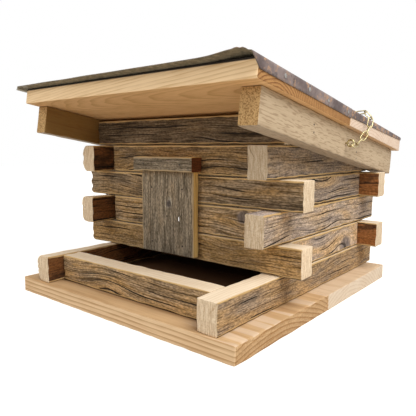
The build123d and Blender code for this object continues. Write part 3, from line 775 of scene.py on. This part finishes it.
def old_sheet(name, rust_amount):
    """Painted steel sheet: dull clouded paint, dark marks, rust flecks, and an olive underside."""
    material, tree, shader = new_material(name, 0.6, 0.35)
    metal = use_group(tree, rust_group, Amount=rust_amount)
    rolled = attribute(tree, "rolled")
    paint = layered(blend(ramp(metal["Cloud"], 0.35, 0.65), paint_dark, paint_pale), (
        (metal["Mark"] * 0.7, paint_mark),
        (metal["Rust"] * 0.9, sheet_rust),
        # painted light on the rolled lip
        (ramp(rolled, 0.4, 0.9, 0.0, 0.8), lip_painted_light),
    ))
    bare = blend(ramp(metal["Fleck"], 0.35, 0.65), olive_pale, olive_dark)
    # painted light on the underside of the rolled lip
    bare = blend(ramp(rolled, 0.2, 0.9, 0.0, 0.8), bare, lip_painted_light)
    wire(blend(attribute(tree, "under"), paint, bare), shader["Base Color"])
    wire(ramp(metal["Fleck"], 0.3, 0.7, 0.48, 0.72), shader["Roughness"])
    shader["Metallic"].default_value = 0.2
    bump(shader, metal["Rust"] * 0.4 + metal["Cloud"], 0.35, 0.0006)
    return material


def bare_metal(name, bright, dull, tarnish, amount, roughness, metallic):
    """Small bright hardware: two tones of metal with spots of tarnish."""
    material, tree, shader = new_material(name, roughness, 0.5)
    metal = use_group(tree, rust_group, Amount=amount)
    color = blend(ramp(metal["Fleck"], 0.35, 0.65), bright, dull)
    wire(blend(metal["Rust"] * 0.7, color, tarnish), shader["Base Color"])
    wire(ramp(metal["Cloud"], 0.3, 0.7, 0.7 * roughness, 1.4 * roughness), shader["Roughness"])
    shader["Metallic"].default_value = metallic
    bump(shader, metal["Fleck"], 0.15, 0.0003)
    return material


lid_sheet_paint = old_sheet("old lid sheet", 0.52)
rear_sheet_paint = old_sheet("old rear sheet", 0.75)
brass, zinc_steel, staple_steel, brad_steel = (bare_metal(*look) for look in (
    ("brass wire", (0.56, 0.48, 0.28), (0.34, 0.27, 0.12), (0.30, 0.23, 0.09), 0.3, 0.3, 1.0),
    ("zinc steel", (0.40, 0.39, 0.37), (0.25, 0.24, 0.23), (0.20, 0.13, 0.09), 0.4, 0.55, 0.6),
    ("bright staple steel", (0.92, 0.92, 0.9), (0.8, 0.8, 0.78), (0.5, 0.48, 0.45), 0.1, 0.22, 1.0),
    ("dark brad steel", (0.07, 0.05, 0.04), (0.04, 0.03, 0.025), (0.06, 0.03, 0.015), 0.5, 0.6, 0.4),
))
print("metal finishes: 6")

# %% [markdown]
# ## The roof sheets
# A folded sheet is thin everywhere, so only its middle surface is worked out: a line across the
# roof, carried down the slope. That surface is then moved half a thickness both ways along its
# normals and closed round the rim, which gives the underside its own points and its own paint.

# %% Sheets as functions on a grid
sheet_t = 0.6 * mm
sheet_overhang = 12 * mm
lip_r, lip_reach, lip_droop = 14 * mm, 9 * mm, 1.0 * mm
bead_r = 2.4 * mm
lid_flange, flange_slant = 11 * mm, 14 * mm
rear_flange_front, rear_flange_back = 9.5 * mm, 4 * mm
fold_in, fold_out = 0.8 * mm, 0.1 * mm
hump_rise, hump_depth = 3.06 * mm, 42 * mm
corner_cut = 6 * mm
flat_points, lid_rows, rear_rows = 130, 90, 70
lid_fall, rear_fall = 6, 5


def bell(value, middle, width):
    """A bump of height 1 about the middle."""
    return np.exp(-(((value - middle) / width) ** 2))


def two_sided(name, middle, rolled, material, node):
    """Close a sheet: its middle surface, with rows down the slope, moved both ways along its normals.

    It is moved by half the sheet's thickness, plus the bead's radius times rolled, which is 1 in the
    thick of a rolled edge. Such an edge is painted lighter, as painted light on the curl.
    """
    normal = np.cross(np.gradient(middle, axis=1), np.gradient(middle, axis=0))
    normal = normal / np.linalg.norm(normal, axis=-1, keepdims=True)
    normal = normal * (sheet_t / 2 + bead_r * rolled)[:, None]
    normal = joined(0 * normal[:1], normal, 0 * normal[-1:])
    middle = joined(middle[:1], middle, middle[-1:])
    points = joined(middle + normal, (middle - normal)[:, ::-1], axis=1)
    under = joined(np.zeros(middle.shape[:2]), np.ones(middle.shape[:2]), axis=1)
    rolled = np.broadcast_to(joined(rolled, rolled[::-1]), under.shape)
    dress(name, points, material, node, attributes={"under": under, "rolled": rolled})


def lid_sheet_middle():
    """Lid sheet: a lip curled up at the left with a rolled edge, then flat, and folded down at the right.

    The bead swells on a quarter circle from the lip's end and then fades into the sheet, below its
    top face. Near the right front corner the sheet rises in a hump with two small buckles.
    """
    middle, axes, half = own_axes("roof_lid_board")
    end = half[0]
    rise = np.arcsin(lip_reach / lip_r)
    curl = rise * (1 - np.linspace(0, 1, 25)[:-1] ** 2)
    from_end = lip_r * (rise - curl)
    swell = np.sqrt(1 - np.clip(1 - from_end / bead_r, 0, 1) ** 2)
    swell = swell * (1 - smooth(from_end, bead_r, lip_r * rise))
    flat = np.linspace(-end, end - fold_in, flat_points)
    fall = np.linspace(0, 1, lid_fall + 1)[1:]
    folded = np.zeros(lid_fall + 1)
    x = joined(-end - lip_r * np.sin(curl), flat, [end + fold_out], np.full(lid_fall, end + sheet_t / 2))
    lift = joined(lip_r * (1 - np.cos(curl)) - bead_r * swell, 0 * flat, [-fold_out], 0 * fall)
    flange = joined(0 * curl, 0 * flat, [0], fall)
    tip = joined(curl / rise, 0 * flat, folded)
    rolled = joined(swell, 0 * flat, folded)
    s_front = -half[1] - sheet_overhang + corner_cut * (1 - np.sqrt(1 - 0.98 * tip ** 2))
    s = s_front + (half[1] - s_front) * (np.linspace(0, 1, lid_rows)[:, None] ** 1.25)
    depth = lid_flange * np.clip((s - s_front) / flange_slant, 0.06, 1)
    at_front = 1 - smooth(s, s_front, s_front + hump_depth)
    hump = hump_rise * bell(x, 0.9 * end, 0.12 * end) * (1 - smooth(x, end - 9 * mm, end - 1 * mm))
    buckle = 1.1 * mm * bell(x, end - 16 * mm, 2.6 * mm) + 0.9 * mm * bell(x, end - 8 * mm, 2.2 * mm)
    raised = (hump + buckle * (hump > 0)) * at_front
    wave = 0.12 * mm * (1 + ripple(31, x / 0.11, s / 0.14)) * (1 - smooth(s, 40 * mm, 75 * mm))
    droop = -lip_droop * tip * at_front
    h = half[2] + sheet_t / 2 + lift + droop + (raised + wave) * (flange == 0) - depth * flange
    local = as_grid(x, s, h)
    return middle + local @ axes, rolled


def rear_sheet_middle():
    """Rear sheet: flat, with a flange at either end whose depth falls evenly from the front to the back."""
    middle, axes, half = own_axes("roof_rear_board")
    end, start = half[0], -half[1]
    flat = np.linspace(-end + fold_in, end - fold_in, flat_points)
    fall = np.linspace(0, 1, rear_fall + 1)[1:]
    side = np.full(rear_fall, end + sheet_t / 2)
    x = joined(-side, [-end - fold_out], flat, [end + fold_out], side)
    flange = joined(fall[::-1], [0], 0 * flat, [0], fall)
    fold = joined(0 * fall, [fold_out], 0 * flat, [fold_out], 0 * fall)
    s = np.linspace(start, half[1], rear_rows)[:, None]
    depth = rear_flange_front + (rear_flange_back - rear_flange_front) * (s - start) / (2 * half[1])
    wave = 0.06 * mm * (1 + ripple(37, x / 0.10, s / 0.12)) * smooth(s, start + 20 * mm, start + 50 * mm)
    h = half[2] + sheet_t / 2 - fold + wave * (flange == 0) - depth * flange
    local = as_grid(x, s, h)
    return middle + local @ axes, 0 * x


two_sided("lid_sheet", *lid_sheet_middle(), lid_sheet_paint, "lid_roof_sheet")
two_sided("rear_sheet", *rear_sheet_middle(), rear_sheet_paint, "rear_roof_sheet")
print("roof sheets: 2, of", sheet_t / mm, "mm")

# %% [markdown]
# ## The chain
# The chain is one node of many loose links. Points that share a face belong to the same link, and
# the spread of a link's points gives its axes: longest along the link, shortest square to it. A
# link is a wire round two half circles and two straight runs, made once and laid on every axis set.

# %% Loose parts of a node, and the chain
link_wire_r = 0.72 * mm
bow_points, link_sides = 9, 8


def loose_parts(node):
    """The points of each separate solid of a node: the lowest label of a face spreads over all its points."""
    mesh = frame["nodes"][node].data
    mesh.calc_loop_triangles()
    corners = read(mesh.loop_triangles, "vertices", 3, np.int32)
    spots, spot_of = np.unique(points_of(node), axis=0, return_inverse=True)
    faces = spot_of.ravel()[corners]
    label, before = np.arange(len(spots)), None
    while before is None or (label != before).any():
        before = label.copy()
        np.minimum.at(label, faces.ravel(), np.repeat(before[faces].min(1), 3))
    return [spots[label == kind] for kind in np.unique(label)]


def lie_of(spots):
    """Middle, axes (rows: longest way first) and half sizes of a loose part, from its points' spread."""
    middle = spots.mean(0)
    axes = np.linalg.eigh(np.cov((spots - middle).T))[1].T[::-1]
    return middle, axes, np.ptp((spots - middle) @ axes.T, axis=0) / 2


def link_points(half_long, half_wide, wire_r):
    """A link about the origin: circles of wire round two half circles, set apart by the straight runs."""
    bow = half_wide - wire_r
    run = half_long - half_wide
    quarter = np.linspace(-np.pi / 2, np.pi / 2, bow_points)
    turn = joined(quarter, quarter + np.pi)
    set_off = np.repeat((run, -run), bow_points)
    round_wire = np.linspace(0, 2 * np.pi, link_sides, endpoint=False)
    reach = bow + wire_r * np.cos(round_wire)
    x = set_off[:, None] + np.cos(turn)[:, None] * reach
    y = np.sin(turn)[:, None] * reach
    return as_grid(x, y, wire_r * np.sin(round_wire))


links = [lie_of(part) for part in loose_parts("hanging_chain")]
link_sizes = np.mean([size for _, _, size in links], axis=0)
one_link = link_points(link_sizes[0], link_sizes[1], link_wire_r)
chain_points = np.stack([middle + one_link @ axes for middle, axes, _ in links])
dress("chain_links", chain_points, brass, "hanging_chain", wrap_rows=True)
print("links:", len(links), "of", (2 * link_sizes / mm).round(1), "mm")

# %% [markdown]
# ## Eye screws and the door's staple
# Both are bent round wire. A wire that lies in a plane is a circle carried along a flat path: the
# plane's normal and the way square to the path span each circle. Ends close with a radius of zero.

# %% Bent wire
wire_sides = 12
eye_slim, staple_slim = 0.94, 0.95
thread_turns, thread_depth, thread_end = 9, 0.16, 0.8


def bent_wire(path, normal, radius):
    """Circles of the given radii along a flat path, spanned by its normal and the way square to both."""
    along = np.gradient(path, axis=0)
    side = np.cross(along, normal)
    side = side / np.linalg.norm(side, axis=1, keepdims=True)
    turn = np.linspace(0, 2 * np.pi, wire_sides, endpoint=False)[None, :, None]
    ring = np.cos(turn) * side[:, None] + np.sin(turn) * np.array(normal, dtype=float)
    return path[:, None] + np.reshape(radius, (-1, 1, 1)) * ring


def eye_screw(node, outward):
    """An eye screw: a closed ring square to y, and a threaded shank that points inward from it."""
    low, high = np.array(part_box(node)[0]), np.array(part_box(node)[1])
    wire_r = (high[1] - low[1]) / 2 * eye_slim
    ring_r = (high[2] - low[2]) / 2 - wire_r
    outer, tip = (high[0], low[0]) if outward > 0 else (low[0], high[0])
    centre = np.array((outer - outward * (ring_r + wire_r), (low[1] + high[1]) / 2, (low[2] + high[2]) / 2))
    turn = np.linspace(0, 2 * np.pi, 49)
    ring = centre + ring_r * as_grid(np.cos(turn), 0 * turn, np.sin(turn))
    along = np.linspace(0, 1, 49)
    shank_x = tip + (centre[0] - outward * ring_r - tip) * along
    shank = as_grid(shank_x, centre[1], centre[2])
    groove = thread_depth * (1 + np.sin(2 * np.pi * thread_turns * along)) * (along < thread_end)
    thread = wire_r * (1 - groove) * smooth(along, -0.001, 0.16)
    thread[-1] = 0
    ring_grid = bent_wire(ring, (0, 1, 0), wire_r)
    ring_grid[-1] = ring_grid[0] = (ring_grid[0] + ring_grid[-1]) / 2
    both = np.stack((ring_grid, bent_wire(shank, (0, 1, 0), thread)))
    dress(f"{node}_wire", both, brass, node)


eye_screw("right_eye_screw", 1)
eye_screw("left_eye_screw", -1)

low, high = np.array(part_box("door_staple")[0]), np.array(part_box("door_staple")[1])
staple_r, bend_r = (high[0] - low[0]) / 2, 1.3 * mm
bend = np.linspace(0, np.pi / 2, 6)
by_sine, by_cosine = bend_r * (1 - np.sin(bend)), bend_r * (1 - np.cos(bend))
front_y, top_z, low_z = low[1] + staple_r, high[2] - staple_r, low[2] + staple_r
y = joined([high[1]] * 2, front_y + by_sine, front_y + by_cosine, [high[1]] * 2)
z = joined([top_z] * 2, top_z - by_cosine, low_z + by_sine, [low_z] * 2)
y[[1, -2]] -= 0.1 * mm
staple_path = as_grid((low[0] + high[0]) / 2, y, z)
staple_radii = joined([0], np.full(len(y) - 2, staple_r * staple_slim), [0])
staple_points = bent_wire(staple_path, (1, 0, 0), staple_radii)
dress("door_staple_wire", staple_points, staple_steel, "door_staple")
print("eye screws and staple are bent")

# %% [markdown]
# ## Nails, screws and brads
# A nail is a turned shape: its profile, a list of radius and depth under the head's top, goes round
# its axis. The head is at the wide end of the solid. Hinge screws have a slot cut into the dome, and
# brads are headless, so they only show as dark dots in the wood.

# %% Turned fasteners
slot_depth, slot_reach = 0.5 * mm, 2.1 * mm
head_depth = 0.9 * mm
brad_lift = 0.12 * mm


def turned(profile, slot=0.0):
    """Rings of the profile's radii at its depths, with a slot of that half width sunk across the dome."""
    r, depth = np.array(profile).T * mm
    turn = np.linspace(0, 2 * np.pi, 24, endpoint=False)
    x, y = r[:, None] * np.cos(turn), r[:, None] * np.sin(turn)
    sunk = slot_depth * (np.abs(x) < slot) * ((r < slot_reach) & (depth < head_depth))[:, None]
    return as_grid(x, y, -depth[:, None] - sunk)


def fasteners(node, shape, material, out=None, lift=0.0):
    """Lay a turned shape on the axis of every loose part of a node, head outwards."""
    copies = []
    for spots in loose_parts(node):
        middle, axes, _ = lie_of(spots)
        along = (spots - middle) @ axes[0]
        across = np.linalg.norm((spots - middle) @ axes[1:].T, axis=1)
        sign = np.sign(along[across.argmax()]) if out is None else np.sign(axes[0] @ out(middle))
        outward = axes[0] * sign
        basis = np.array((axes[1], np.cross(outward, axes[1]), outward))
        copies.append(middle + outward * ((along * sign).max() + lift) + shape @ basis)
    dress(f"{node}_turned", np.stack(copies), material, node)
    return len(copies)


dome = [(r, 0.62 * (r / 2.2) ** 2) for r in np.linspace(0, 2.2, 9)]
nail = turned(dome + [(2.2, 0.82), (2.05, 0.9), (0.8, 0.92), (0.75, 13), (0, 14.9)])
screw_dome = [(r, 0.5 * (r / 2.4) ** 2) for r in np.linspace(0, 2.4, 13)]
screw = turned(screw_dome + [(2.4, 0.8), (2.2, 0.9), (0.8, 0.92), (0.75, 11), (0, 13.9)], slot=0.36 * mm)
brad = turned([(0, 0), (0.75, 0.03), (1.0, 0.1), (1.0, 0.5), (0.75, 0.9), (0.75, 26), (0, 27.5)])
count = sum(fasteners(f"{side}_sheet_nails", nail, zinc_steel) for side in ("lid", "rear"))
count += sum(fasteners(f"{side}_hinge_screws", screw, zinc_steel) for side in ("lid", "fixed"))
count += fasteners("batten_brads", brad, brad_steel, lambda middle: middle * (1, 0, 0), brad_lift)
count += fasteners("door_brads", brad, brad_steel, lambda middle: np.array(front), brad_lift)
print("fasteners with heads that show:", count)

# %% [markdown]
# ## What stays as it came
# The hinges are flat leaves with round knuckles, and the remaining brads are hidden in the wood.
# Their solids already have the right shape, so they only get their metal.

# %% Metal on the remaining solids
plated = [name for name in frame["nodes"] if "hinge" in name and "screws" not in name]
for node in plated + ["log_brads", "roof_brads"]:
    for slot in frame["nodes"][node].material_slots:
        slot.material = zinc_steel if node in plated else brad_steel
print("hinge leaves and pins are plated")

# %% [markdown]
# ## The floor and the light
# A product picture on white: a pale floor that keeps a soft shadow, one wide key light high on the
# right, a small one in front on the left, and an even sky. Little more than the light that the white
# floor throws back reaches the front wall under the eaves, as in the photograph. The sky is pure
# white only to the camera, to gloss and to glass, so the white does not flood the object with light.

# %% Floor, sky and lamps
sky_light = 0.3
floor_size = 8.0
floor_drop = 0.2 * mm


def white_for_camera(tree):
    """1 for rays from the camera and for mirror and glass rays, and 0 for the rays that carry light."""
    path = tree.nodes.new("ShaderNodeLightPath").outputs
    seen = Value(tree, path["Is Camera Ray"])
    for kind in ("Is Glossy Ray", "Is Transmission Ray"):
        seen = seen.calc("MAXIMUM", Value(tree, path[kind]))
    return seen


world = bpy.data.worlds.new("white sky")
world.use_nodes = True
bpy.context.scene.world = world
sky = world.node_tree.nodes["Background"]
sky.inputs["Color"].default_value = (1, 1, 1, 1)
wire(white_for_camera(world.node_tree) * (1 - sky_light) + sky_light, sky.inputs["Strength"])

floor_paint, tree, shader = new_material("pale floor", 0.9, 0.2)
shader["Base Color"].default_value = (0.62, 0.56, 0.48, 1)
shader["Emission Color"].default_value = (1, 1, 1, 1)
from_middle = add(tree, "TexCoord", output="Object").vector("LENGTH", output="Value")
whiter = ramp(from_middle, 0.25, 1.0, 0.72, 1.0)
wire(white_for_camera(tree) * whiter, shader["Emission Strength"])
square = np.array((-0.5, 0.5)) * floor_size
floor_points = as_grid(square[:, None], square, -floor_drop)
floor = surface("floor", floor_points)
floor.data.materials.append(floor_paint)


def lamp(name, place, target, size, watts):
    """A square soft light that looks from its place at a target."""
    data = bpy.data.lights.new(name, "AREA")
    data.size = size
    data.energy = watts
    light = bpy.data.objects.new(name, data)
    way = np.array(target) - np.array(place)
    light.location = place
    light.rotation_euler = (np.arccos(-way[2] / np.linalg.norm(way)), 0, np.arctan2(-way[0], way[1]))
    bpy.context.scene.collection.objects.link(light)


lamp("key", (1.17, -0.28, 1.72), (0, 0, 0.12), 1.4, 42)
lamp("fill", (-0.45, -1.0, 0.7), (-0.05, -0.1, 0.12), 0.5, 4.0)
print("lamps and floor are in place")
